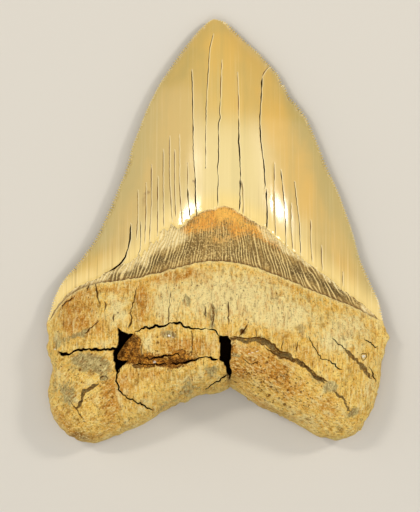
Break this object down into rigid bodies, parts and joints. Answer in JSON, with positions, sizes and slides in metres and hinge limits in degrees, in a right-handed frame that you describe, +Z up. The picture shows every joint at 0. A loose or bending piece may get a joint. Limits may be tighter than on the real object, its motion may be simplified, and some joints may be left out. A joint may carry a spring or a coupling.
{
  "type": "fossil megalodon tooth",
  "caption": "Fossil megalodon tooth lying on its flatter face: serrated enamel crown, dark chevron band and cracked, lobed root.",
  "frame": {"origin": "on the surface it lies on, under the middle of the tooth's box", "axes": "+Y from the root towards the crown's tip, +X across to the right seen on the domed lingual face, +Z up out of that face"},
  "size_m": [0.1018, 0.1262, 0.0263],
  "materials": {
    "fossil": "polished tan enamel crown, matt porous tan root"
  },
  "bodies": {
    "root": {"tooth": "fossil"}
  },
  "joints": []
}
